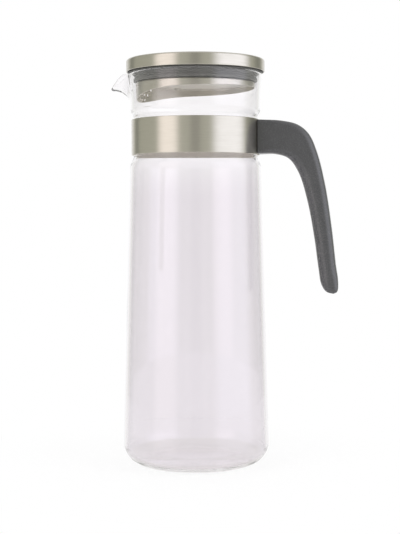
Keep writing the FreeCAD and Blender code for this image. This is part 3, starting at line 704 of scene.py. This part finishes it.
def neck_curve(s, turn):
    """The neck's outside at one angle, from its foot to the lip, with the wall's thickness at each point.

    Away from the spout it is a straight wall. Towards the spout it leans out into the keel.
    """
    aside = abs(turn - math.pi) / s.spout_half_angle
    pull = math.cos(math.pi / 2 * aside) ** (2 * s.spout_sharpness) if aside < 1 else 0.0
    reach = -GLASS_LOW.x - s.neck_radius
    out = s.neck_radius + reach * pull
    dip = max((out - s.neck_radius - s.lip_start) / (reach - s.lip_start), 0.0)
    lip = Vector((out, GLASS_HIGH.z - s.lip_drop * dip**s.lip_bend))
    thick = s.wall + (s.lip_wall - s.wall) * pull
    lean = math.pi / 2 * (1 - pull)
    along = Vector((math.cos(lean), math.sin(lean)))
    outward = Vector((along.y, -along.x))
    end = lip + (outward - along) * (thick / 2)
    start = Vector((s.neck_radius, s.neck_low))
    first = Vector((s.neck_radius, s.keel_height + (end.y - s.keel_height) * (1 - pull) / 2))
    second = end - along * (end - first).length * LIP_PULL
    points = []
    for t in spread(0, 1, LIP_STEPS):
        weights = ((1 - t) ** 3, 3 * t * (1 - t) ** 2, 3 * t * t * (1 - t), t**3)
        spot = sum((p * w for p, w in zip((start, first, second, end), weights)), Vector((0, 0)))
        points.append((polar(spot.x, turn, spot.y), s.wall + (thick - s.wall) * ease(t)))
    return points


def surface_normals(rows):
    """The outward normal at each point of rows that run up a surface."""
    normals = []
    count = len(rows[0])
    for j, row in enumerate(rows):
        low, high = rows[max(j - 1, 0)], rows[min(j + 1, len(rows) - 1)]
        ways = [(row[(i + 1) % count] - row[i - 1], high[i] - low[i]) for i in range(count)]
        normals.append([aside.cross(up).normalized() for aside, up in ways])
    return normals


class JUG_OT_blow_glass(bpy.types.Operator):
    """Makes the glass: base, tapered body, waist, neck and pulled-out spout"""

    bl_idname = "jug.blow_glass"
    bl_label = "Blow the glass"

    def execute(self, context):
        s = context.scene.jug_glass
        turns = glass_turns(s)
        outside = wall_outline(s, 0.0, 0.0, s.base_corner)
        inside = wall_outline(s, s.wall, s.floor, s.floor_corner)
        curves = [neck_curve(s, turn) for turn in turns]
        neck = [[curve[j][0] for curve in curves] for j in range(len(curves[0]))]
        thick = [[curve[j][1] for curve in curves] for j in range(len(curves[0]))]
        body = [[polar(p.x, turn, p.y) for turn in turns] for p in outside[1:-1]]
        normals = surface_normals([body[-1], *neck])[1:]
        rows = body + neck
        rises = [(high - low).normalized() for high, low in zip(neck[-1], neck[-2])]
        rim = list(zip(neck[-1], normals[-1], thick[-1], rises))
        for t in spread(0, math.pi, RIM_STEPS)[1:-1]:
            inward, upward = (math.cos(t) - 1) / 2, math.sin(t) / 2
            rows.append([p + n * (d * inward) + rise * (d * upward) for p, n, d, rise in rim])
        for row, row_normals, row_thick in zip(neck[::-1], normals[::-1], thick[::-1]):
            rows.append([p - n * d for p, n, d in zip(row, row_normals, row_thick)])
        rows += [[polar(p.x, turn, p.y) for turn in turns] for p in inside[-2:0:-1]]
        mesh = skin("blown_glass", rows, Vector((0, 0, outside[0].y)), Vector((0, 0, inside[0].y)))
        glass = blown_glass(s)
        add_piece("blown_glass", mesh, "jug", "clear_glass", glass, "glass_jug", keep_flat=False)
        return {"FINISHED"}


def strip_path(s):
    """The band's middle line in plan, from hook to hook round the waist, with the strip's height."""
    middle = BAND_RADIUS - s.sheet / 2
    lug = (s.lug_gap + s.sheet) / 2
    end = BAND_HIGH.x - s.sheet / 2
    root = math.asin(lug / middle)
    tall = BAND_HIGH.z - BAND_LOW.z
    ring = [(polar(middle, t, 0).xy, tall) for t in spread(root, 2 * math.pi - root, LATHE_STEPS)]
    low = s.lug_height
    near = ring[0][0].x + s.sheet
    hook = s.hook_gap / 2
    head = [(Vector((end, hook)), low), (Vector((end, lug)), low), (Vector((near, lug)), low)]
    tail = [(Vector((p.x, -p.y)), height) for p, height in head[::-1]]
    return head + ring + tail


def band_strip(s):
    """The band's mesh: the strip's rounded section, carried along its middle line."""
    path = strip_path(s)
    points = []
    for number, (here, height) in enumerate(path):
        before = path[max(number - 1, 0)][0]
        after = path[min(number + 1, len(path) - 1)][0]
        ways = [way.normalized() for way in (here - before, after - here) if way.length > 0]
        sides = [Vector((w.y, -w.x)) for w in ways]
        side = (sides[0] + sides[-1]).normalized()
        side /= side.dot(sides[0])
        outline = rectangle((-s.sheet / 2, -height / 2), (s.sheet / 2, height / 2), s.edge)
        for p in outline:
            spot = here + side * p.x
            points.append(Vector((spot.x, spot.y, BAND_MIDDLE + p.y)))
    count = len(outline)
    faces = wall_faces(len(path), count)
    faces.append(tuple(range(count)))
    faces.append(tuple(range(len(points) - count, len(points))))
    return closed_mesh("collar_strip", points, faces)


class JUG_OT_wrap_band(bpy.types.Operator):
    """Makes the steel collar band and the soft sleeve under it"""

    bl_idname = "jug.wrap_band"
    bl_label = "Wrap the band"

    def execute(self, context):
        s = context.scene.jug_band
        steel = brushed_steel(context.scene.jug_steel)
        add_piece("collar_strip", band_strip(s), "jug", "band_steel", steel, "collar_band")
        inside = context.scene.jug_glass.waist_radius + s.liner_gap
        outside = BAND_RADIUS - s.sheet - s.liner_gap
        sleeve = lathe("band_sleeve", rectangle((inside, LINER_LOW.z), (outside, LINER_HIGH.z), s.edge / 2))
        add_piece("band_sleeve", sleeve, "jug", "liner_silicone", liner_silicone(s), "band_liner")
        return {"FINISHED"}


def spline(knots, steps):
    """Evenly spaced points on a smooth curve through knots in millimetres, each with its left normal."""
    knots = [Vector(knot) * MM for knot in knots]
    ahead = [(b - a).normalized() for a, b in zip(knots, knots[1:])]
    ways = [ahead[0], *[(a + b).normalized() for a, b in zip(ahead, ahead[1:])], ahead[-1]]
    dense = [knots[0]]
    for k, (start, end) in enumerate(zip(knots, knots[1:])):
        pull = (end - start).length / 3
        handles = (start + ways[k] * pull, end - ways[k + 1] * pull)
        dense += interpolate_bezier(start, *handles, end, KNOT_POINTS)[1:]
    runs = [0.0]
    for a, b in zip(dense, dense[1:]):
        runs.append(runs[-1] + (b - a).length)
    points, place = [], 0
    for run in spread(0, runs[-1], steps):
        while place < len(runs) - 2 and runs[place + 1] < run:
            place += 1
        share_on = (run - runs[place]) / (runs[place + 1] - runs[place])
        points.append(dense[place].lerp(dense[place + 1], min(share_on, 1.0)))
    edge = []
    for k, point in enumerate(points):
        way = points[min(k + 1, steps)] - points[max(k - 1, 0)]
        edge.append((point, Vector((-way.y, way.x)).normalized()))
    return edge


def handle_edges():
    """The handle's back edge and grip edge in side view, from the band to the middle of the tip."""
    back = spline(BACK_EDGE, HANDLE_STEPS)
    grip = [(point, -normal) for point, normal in spline(GRIP_EDGE, HANDLE_STEPS)]
    tip = (back[-1][1] + grip[-1][1]).normalized()
    back[-1] = (back[-1][0], tip)
    grip[-1] = (grip[-1][0], tip)
    return back, grip


def handle_section(s, edge_point, radius):
    """One edge of the handle across its width, from one flat side to the other, with rounded corners."""
    (spot, normal), half = edge_point, s.width / 2
    points = []
    for side in (-1, 1):
        turns = spread(math.pi / 2, 0, ROUND_STEPS + 2)
        for t in turns if side < 0 else turns[::-1]:
            inset = spot - normal * (radius * (1 - math.cos(t)))
            points.append(Vector((inset.x, side * (half - radius + radius * math.sin(t)), inset.y)))
    return points


def handle_blank(s):
    """The handle's mesh before it is cut: rounded sections from the band to the tip, saddled to the band."""
    saddle = BAND_RADIUS + s.gap
    points = []
    for number, edges in enumerate(zip(*handle_edges())):
        along = number / HANDLE_STEPS
        from_root = ease(along / ROOT_SHARE)
        to_tip = ease((along - (1 - TIP_SHARE)) / TIP_SHARE)
        halves = []
        for edge_point, wide in zip(edges, (s.back_round, s.grip_round)):
            radius = s.root_round + (wide - s.root_round) * from_root + (s.tip_round - wide) * to_tip
            halves.append(handle_section(s, edge_point, radius))
        loop = halves[0] + halves[1][::-1]
        if number == 0:
            loop = [Vector((math.sqrt(saddle**2 - p.y**2), p.y, p.z)) for p in loop]
        points += loop
    count = len(loop)
    faces = wall_faces(HANDLE_STEPS + 1, count)
    for i in range(count // 2 - 1):
        faces.append((i, i + 1, count - 2 - i, count - 1 - i))
    return closed_mesh("handle_moulding", points, faces)


def handle_cutters(s, band):
    """What is cut out of the handle: the lugs' pocket, the screw's bore and the bore behind the cover."""
    half = band.lug_gap / 2 + band.sheet + s.pocket_room
    tall = band.lug_height / 2 + s.pocket_room
    room = Matrix.Diagonal((s.pocket_end, 2 * half, 2 * tall, 1))
    place = Matrix.Translation((s.pocket_end / 2, 0, BAND_MIDDLE))
    work = bmesh.new()
    bmesh.ops.create_cube(work, size=1.0, matrix=place @ room)
    start, seat, past = ((x, 0, BAND_MIDDLE) for x in (BAND_RADIUS, s.screw_seat, CAD_BOX[1].x))
    return [new_mesh("pocket", work), rod(s.screw_bore, start, seat), rod(s.access_bore, seat, past)]


class JUG_OT_mould_handle(bpy.types.Operator):
    """Makes the open-ended handle, saddled to the band, with its lug pocket and screw bores"""

    bl_idname = "jug.mould_handle"
    bl_label = "Mould the handle"

    def execute(self, context):
        s = context.scene.jug_handle
        mesh = carve(handle_blank(s), handle_cutters(s, context.scene.jug_band))
        add_piece("handle_moulding", mesh, "jug", "handle_plastic", handle_plastic(s), "handle")
        return {"FINISHED"}


class JUG_OT_press_cap(bpy.types.Operator):
    """Makes the pressed steel cap of the lid"""

    bl_idname = "jug.press_cap"
    bl_label = "Press the cap"

    def execute(self, context):
        s = context.scene.jug_lid
        outside, top, low = CAP_HIGH.x, CAP_HIGH.z, CAP_LOW.z
        inside, under = outside - s.cap_sheet, top - s.cap_sheet
        rings = [inside * k for k in CAP_RINGS]
        corners = [
            (0, under, 0),
            *[(r, under, 0) for r in rings],
            (inside, under, s.cap_edge - s.cap_sheet),
            (inside, low, s.cap_lip),
            (outside, low, s.cap_lip),
            (outside, top, s.cap_edge),
            *[(r, top, 0) for r in rings[::-1]],
            (0, top, 0),
        ]
        mesh = lathe("cap_pressing", rounded(corners, closed=False))
        steel = brushed_steel(context.scene.jug_steel)
        add_piece("cap_pressing", mesh, "lid", "lid_steel", steel, "lid_cap")
        return {"FINISHED"}


class JUG_OT_mould_seal(bpy.types.Operator):
    """Makes the silicone seal with its flange and two lips"""

    bl_idname = "jug.mould_seal"
    bl_label = "Mould the seal"

    def execute(self, context):
        s = context.scene.jug_lid
        rim, seat, low = GLASS_HIGH.z, SEAL_HIGH.z, SEAL_LOW.z
        lip, tip, root = s.seal_round, s.seal_lip, s.seal_outside
        third = (rim - low) / 3
        corners = [
            (s.seal_inside, low, lip),
            (tip, low, lip),
            (tip, low + third, lip),
            (root, low + third, lip / 2),
            (root, rim - third, lip / 2),
            (tip, rim - third, lip),
            (tip, rim - lip, lip / 2),
            (root, rim, 0),
            (SEAL_HIGH.x, rim, lip),
            (SEAL_HIGH.x, seat, lip),
            (s.seal_inside, seat, lip),
        ]
        mesh = lathe("seal_ring", rounded(corners))
        add_piece("seal_ring", mesh, "seal", "seal_silicone", seal_silicone(s), "lid_seal")
        return {"FINISHED"}


def strainer_edge(s, x):
    """Height of the strainer's lower edge at a place along X."""
    outside = STRAINER_HIGH.x
    fall = s.slant * (outside - x) / (2 * outside)
    return STRAINER_HIGH.z - s.back_depth - fall - s.dip * max(-x / outside, 0.0) ** 3


def strainer_radius(s, height):
    """Outside radius of the strainer's tapered wall at a height."""
    return STRAINER_HIGH.x - s.taper * (STRAINER_HIGH.z - height) / (STRAINER_HIGH.z - STRAINER_LOW.z)


def strainer_outline(s, turn):
    """The strainer's sheet in radius and height at one angle: over the top, down and back up inside."""
    top, outside = STRAINER_HIGH.z, STRAINER_HIGH.x
    low = strainer_edge(s, outside * math.cos(turn))
    foot = strainer_radius(s, low)
    floor = top - s.sheet
    edge = s.sheet * EDGE_SHARE
    rings = (outside / 3, outside * 2 / 3)
    down = spread(top - s.corner * WALL_START, low + s.sheet, STRAINER_STEPS)
    back = spread(low + s.sheet, floor - s.corner, STRAINER_STEPS)
    corners = [
        (0, top, 0),
        *[(r, top, 0) for r in rings],
        (outside, top, s.corner),
        *[(strainer_radius(s, z), z, 0) for z in down],
        (foot, low, edge),
        (foot - s.sheet, low, edge),
        *[(strainer_radius(s, z) - s.sheet, z, 0) for z in back],
        (outside - s.sheet, floor, s.corner - s.sheet),
        *[(r, floor, 0) for r in rings[::-1]],
        (0, floor, 0),
    ]
    return rounded(corners, closed=False)


def strainer_drills(s):
    """Round bars where the strainer's holes go, in rows on the spout's side."""
    outside = STRAINER_HIGH.x
    high = STRAINER_HIGH.z - s.hole_margin
    low = strainer_edge(s, -outside) + s.hole_margin
    drills = []
    for height, holes in zip(spread(high, low, len(HOLE_ROWS) - 1), HOLE_ROWS):
        for k in range(holes):
            turn = math.pi + s.hole_step * (k - (holes - 1) / 2)
            start, end = (polar(outside * reach, turn, height) for reach in DRILL_ENDS)
            drills.append(rod(s.hole, start, end))
    return merged(drills)


class JUG_OT_pierce_strainer(bpy.types.Operator):
    """Makes the tapered steel strainer with its curved edge and its holes"""

    bl_idname = "jug.pierce_strainer"
    bl_label = "Pierce the strainer"

    def execute(self, context):
        s = context.scene.jug_lid
        columns = [[polar(p.x, turn, p.y) for p in strainer_outline(s, turn)] for turn in full_turn()]
        rows = [[column[j] for column in columns] for j in range(1, len(columns[0]) - 1)]
        cup = skin("strainer_cup", rows, columns[0][0], columns[0][-1])
        mesh = carve(cup, [strainer_drills(s)])
        steel = brushed_steel(context.scene.jug_steel)
        add_piece("strainer_cup", mesh, "lid", "lid_steel", steel, "strainer")
        return {"FINISHED"}


class JUG_OT_finish_fittings(bpy.types.Operator):
    """Gives the frame's own screws, plate, washer, cover and core their finishes"""

    bl_idname = "jug.finish_fittings"
    bl_label = "Finish the fittings"

    def execute(self, context):
        scene = context.scene
        steel = turned_steel(scene.jug_steel)
        finishes = {
            "clamp_plate": steel,
            "clamp_washer": steel,
            "clamp_screw": steel,
            "lid_screws": brushed_steel(scene.jug_steel),
            "screw_cover": handle_plastic(scene.jug_handle),
            "lid_core": core_plastic(scene.jug_lid),
        }
        for name, material in finishes.items():
            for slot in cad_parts[name].material_slots:
                slot.material = material
        return {"FINISHED"}


def beside_camera(s, bearing):
    """A level direction at a bearing from the camera, to its right, seen from the jug."""
    turn = s.azimuth + bearing
    return Vector((math.sin(turn), -math.cos(turn), 0))


def reflected_room(tree, s, way):
    """The room that steel reflects: softboxes, dark corners, a white backdrop, a table and a ceiling."""
    parts = node(tree, "ShaderNodeSeparateXYZ", {"Vector": way})
    level = node(tree, "ShaderNodeCombineXYZ", {"X": parts["X"], "Y": parts["Y"]})["Vector"]
    level = node(tree, "ShaderNodeVectorMath", {0: level}, operation="NORMALIZE")["Vector"]
    patches = []
    for (bearing, half, soft), light in (
        (ROOM_FRONT, s.room_front),
        (LEFT_SOFTBOX, Vector(s.left_tone) * s.left_light),
        (RIGHT_SOFTBOX, Vector(s.right_tone) * s.right_light),
        (LEFT_CORNER, s.room_corner),
        (RIGHT_CORNER, s.room_corner),
        (BACKDROP, WHITE),
    ):
        aim = beside_camera(s, math.radians(bearing))
        near = node(tree, "ShaderNodeVectorMath", {0: level, 1: aim}, operation="DOT_PRODUCT")
        start, end = (math.cos(math.radians(max(width, 0))) for width in (half + soft, half - soft))
        patches.append((near["Value"], start, end, light))
    patches.append((parts["Z"], *TABLE_EDGE, s.table))
    patches.append((parts["Z"], *CEILING_EDGE, s.ceiling))
    tone = (*s.room, 1)
    for place, start, end, light in patches:
        fade = {"Value": place, "From Min": start, "From Max": end}
        mask = node(tree, "ShaderNodeMapRange", fade, interpolation_type="SMOOTHSTEP")["Result"]
        mix = {FACTOR: mask, FIRST: tone, SECOND: (*light, 1)}
        tone = node(tree, "ShaderNodeMix", mix, data_type="RGBA")[MIXED]
    return tone


def build_world(s):
    """A white backdrop for the eye and through the glass, and a studio with two softboxes in reflections."""
    world = bpy.data.worlds.new("studio")
    world.cycles.sampling_method = "NONE"
    tree = blank_tree(world)
    path = node(tree, "ShaderNodeLightPath")
    way = node(tree, "ShaderNodeTexCoord")["Generated"]
    faces = {0: path["Transmission Depth"], 1: TENT_FACES, 2: TENT_REACH}
    inside = node(tree, "ShaderNodeMath", faces, operation="COMPARE")[0]
    inside = node(tree, "ShaderNodeMath", {0: inside, 1: s.tent}, operation="MULTIPLY")[0]
    mix = {FACTOR: inside, FIRST: reflected_room(tree, s, way), SECOND: (*WHITE, 1)}
    room = node(tree, "ShaderNodeMix", mix, data_type="RGBA")[MIXED]
    behind = beside_camera(s, math.pi)
    depth = node(tree, "ShaderNodeVectorMath", {0: way, 1: behind}, operation="DOT_PRODUCT")["Value"]
    light = {"Value": depth, "From Min": -1.0, "To Min": s.ambient, "To Max": s.backdrop}
    falling = node(tree, "ShaderNodeMapRange", light)["Result"]
    rays = {0: path["Is Camera Ray"], 1: path["Is Transmission Ray"]}
    seen = node(tree, "ShaderNodeMath", rays, operation="MAXIMUM")[0]
    mix = {FACTOR: seen, FIRST: falling, SECOND: (*WHITE, 1)}
    plain = node(tree, "ShaderNodeMix", mix, data_type="RGBA")[MIXED]
    bounces = {0: path["Glossy Depth"], 1: path["Is Diffuse Ray"]}
    mirrored = node(tree, "ShaderNodeMath", bounces, operation="SUBTRACT")[0]
    mirrored = node(tree, "ShaderNodeMath", {0: mirrored, 1: ONE_OR_MORE}, operation="GREATER_THAN")[0]
    mix = {FACTOR: mirrored, FIRST: plain, SECOND: room}
    tone = node(tree, "ShaderNodeMix", mix, data_type="RGBA")[MIXED]
    background = node(tree, "ShaderNodeBackground", {"Color": tone, "Strength": 1.0})["Background"]
    node(tree, "ShaderNodeOutputWorld", {"Surface": background})
    return world


def pale_floor(s):
    """Matt white board: white to the eye, and only faintly shaded beside the jug."""
    material = bpy.data.materials.new("matt_board_white")
    tree = blank_tree(material)
    path = node(tree, "ShaderNodeLightPath")
    place = node(tree, "ShaderNodeTexCoord")["Object"]
    reach = node(tree, "ShaderNodeVectorMath", {0: place}, operation="LENGTH")["Value"]
    fade = {"Value": reach, "From Min": s.shadow_reach, "From Max": -GLASS_LOW.y, "To Max": s.shadow}
    kept = node(tree, "ShaderNodeMapRange", fade, interpolation_type="SMOOTHSTEP")["Result"]
    white = node(tree, "ShaderNodeMath", {0: 1.0, 1: kept}, operation="SUBTRACT")[0]
    seen = path["Is Camera Ray"]
    for other in ("Is Glossy Ray", "Is Transmission Ray"):
        seen = node(tree, "ShaderNodeMath", {0: seen, 1: path[other]}, operation="MAXIMUM")[0]
    lit = node(tree, "ShaderNodeMath", {0: seen, 1: white}, operation="MULTIPLY")[0]
    board = node(tree, "ShaderNodeBsdfDiffuse", {"Color": (*s.floor, 1)})["BSDF"]
    glow = node(tree, "ShaderNodeEmission", {"Color": (*WHITE, 1), "Strength": 1.0})["Emission"]
    surface = node(tree, "ShaderNodeMixShader", {0: lit, 1: board, 2: glow})["Shader"]
    node(tree, "ShaderNodeOutputMaterial", {"Surface": surface})
    return material


def add_floor(scene, s):
    """Lays a round board just under the base."""
    work = bmesh.new()
    bmesh.ops.create_circle(work, cap_ends=True, segments=DISC_STEPS, radius=s.floor_radius)
    disc = new_mesh("floor", work)
    disc.materials.append(pale_floor(s))
    floor = bpy.data.objects.new("floor", disc)
    floor.location.z = -s.floor_drop
    floor.visible_glossy = False
    scene.collection.objects.link(floor)


def add_lamps(scene, s):
    """Hangs two square lamps that look at the middle of the jug, and that neither steel nor glass shows."""
    for name, bearing in LAMPS.items():
        lamp = bpy.data.lights.new(name, "AREA")
        lamp.size = s.lamp_size
        lamp.energy = s.lamp_power
        holder = bpy.data.objects.new(name, lamp)
        holder.location = beside_camera(s, math.radians(bearing)) * s.lamp_distance
        holder.location.z = s.lamp_height
        aim = Vector((0, 0, GLASS_HIGH.z / 2)) - holder.location
        holder.rotation_euler = aim.to_track_quat("-Z", "Y").to_euler()
        holder.visible_glossy = False
        holder.visible_transmission = False
        scene.collection.objects.link(holder)


def add_camera(scene, s):
    """Stands the camera in front of the jug."""
    lens = bpy.data.cameras.new("camera")
    lens.sensor_width = SENSOR
    lens.lens = s.focal / IMAGE_HEIGHT * SENSOR
    camera = bpy.data.objects.new("camera", lens)
    stand = beside_camera(s, 0) * s.distance + beside_camera(s, math.pi / 2) * s.aside
    look = (
        Matrix.Rotation(s.azimuth, 4, "Z")
        @ Matrix.Rotation(math.pi / 2 - s.pitch, 4, "X")
        @ Matrix.Rotation(s.roll, 4, "Z")
    )
    camera.matrix_world = Matrix.Translation((stand.x, stand.y, s.height)) @ look
    scene.collection.objects.link(camera)
    scene.camera = camera


class JUG_OT_set_stage(bpy.types.Operator):
    """Sets up the camera, the pale floor, the lamps and the room"""

    bl_idname = "jug.set_stage"
    bl_label = "Set the stage"

    def execute(self, context):
        scene = context.scene
        s = scene.jug_stage
        scene.view_settings.view_transform = "Standard"
        # Light turns many times between the faces of the glass before it leaves again.
        scene.cycles.max_bounces = PATH_TURNS
        scene.cycles.glossy_bounces = GLASS_TURNS
        scene.cycles.transmission_bounces = GLASS_TURNS
        # Light stays sharp on its way through the glass to what lies behind it, so that none is lost.
        scene.cycles.blur_glossy = 0.0
        scene.world = build_world(s)
        add_floor(scene, s)
        add_lamps(scene, s)
        add_camera(scene, s)
        return {"FINISHED"}


class JUG_PT_pieces(bpy.types.Panel):
    """Lists the jug's pieces and its stage"""

    bl_label = "Glass jug"
    bl_idname = "JUG_PT_pieces"
    bl_space_type = "VIEW_3D"
    bl_region_type = "UI"
    bl_category = "Jug"

    def draw(self, context):
        for operator in OPERATORS:
            self.layout.operator(operator.bl_idname)


SETTINGS = {
    "jug_glass": GlassSettings,
    "jug_steel": SteelSettings,
    "jug_band": BandSettings,
    "jug_handle": HandleSettings,
    "jug_lid": LidSettings,
    "jug_stage": StageSettings,
}
OPERATORS = (
    JUG_OT_blow_glass,
    JUG_OT_wrap_band,
    JUG_OT_mould_handle,
    JUG_OT_press_cap,
    JUG_OT_mould_seal,
    JUG_OT_pierce_strainer,
    JUG_OT_finish_fittings,
    JUG_OT_set_stage,
)
CLASSES = (*SETTINGS.values(), *OPERATORS, JUG_PT_pieces)


def register():
    for made in CLASSES:
        bpy.utils.register_class(made)
    for name, group in SETTINGS.items():
        setattr(bpy.types.Scene, name, PointerProperty(type=group))


def unregister():
    for name in SETTINGS:
        delattr(bpy.types.Scene, name)
    for made in reversed(CLASSES):
        bpy.utils.unregister_class(made)


def main():
    register()
    bpy.ops.jug.blow_glass()
    bpy.ops.jug.wrap_band()
    bpy.ops.jug.mould_handle()
    bpy.ops.jug.press_cap()
    bpy.ops.jug.mould_seal()
    bpy.ops.jug.pierce_strainer()
    bpy.ops.jug.finish_fittings()
    bpy.ops.jug.set_stage()


if __name__ == "__main__":
    main()
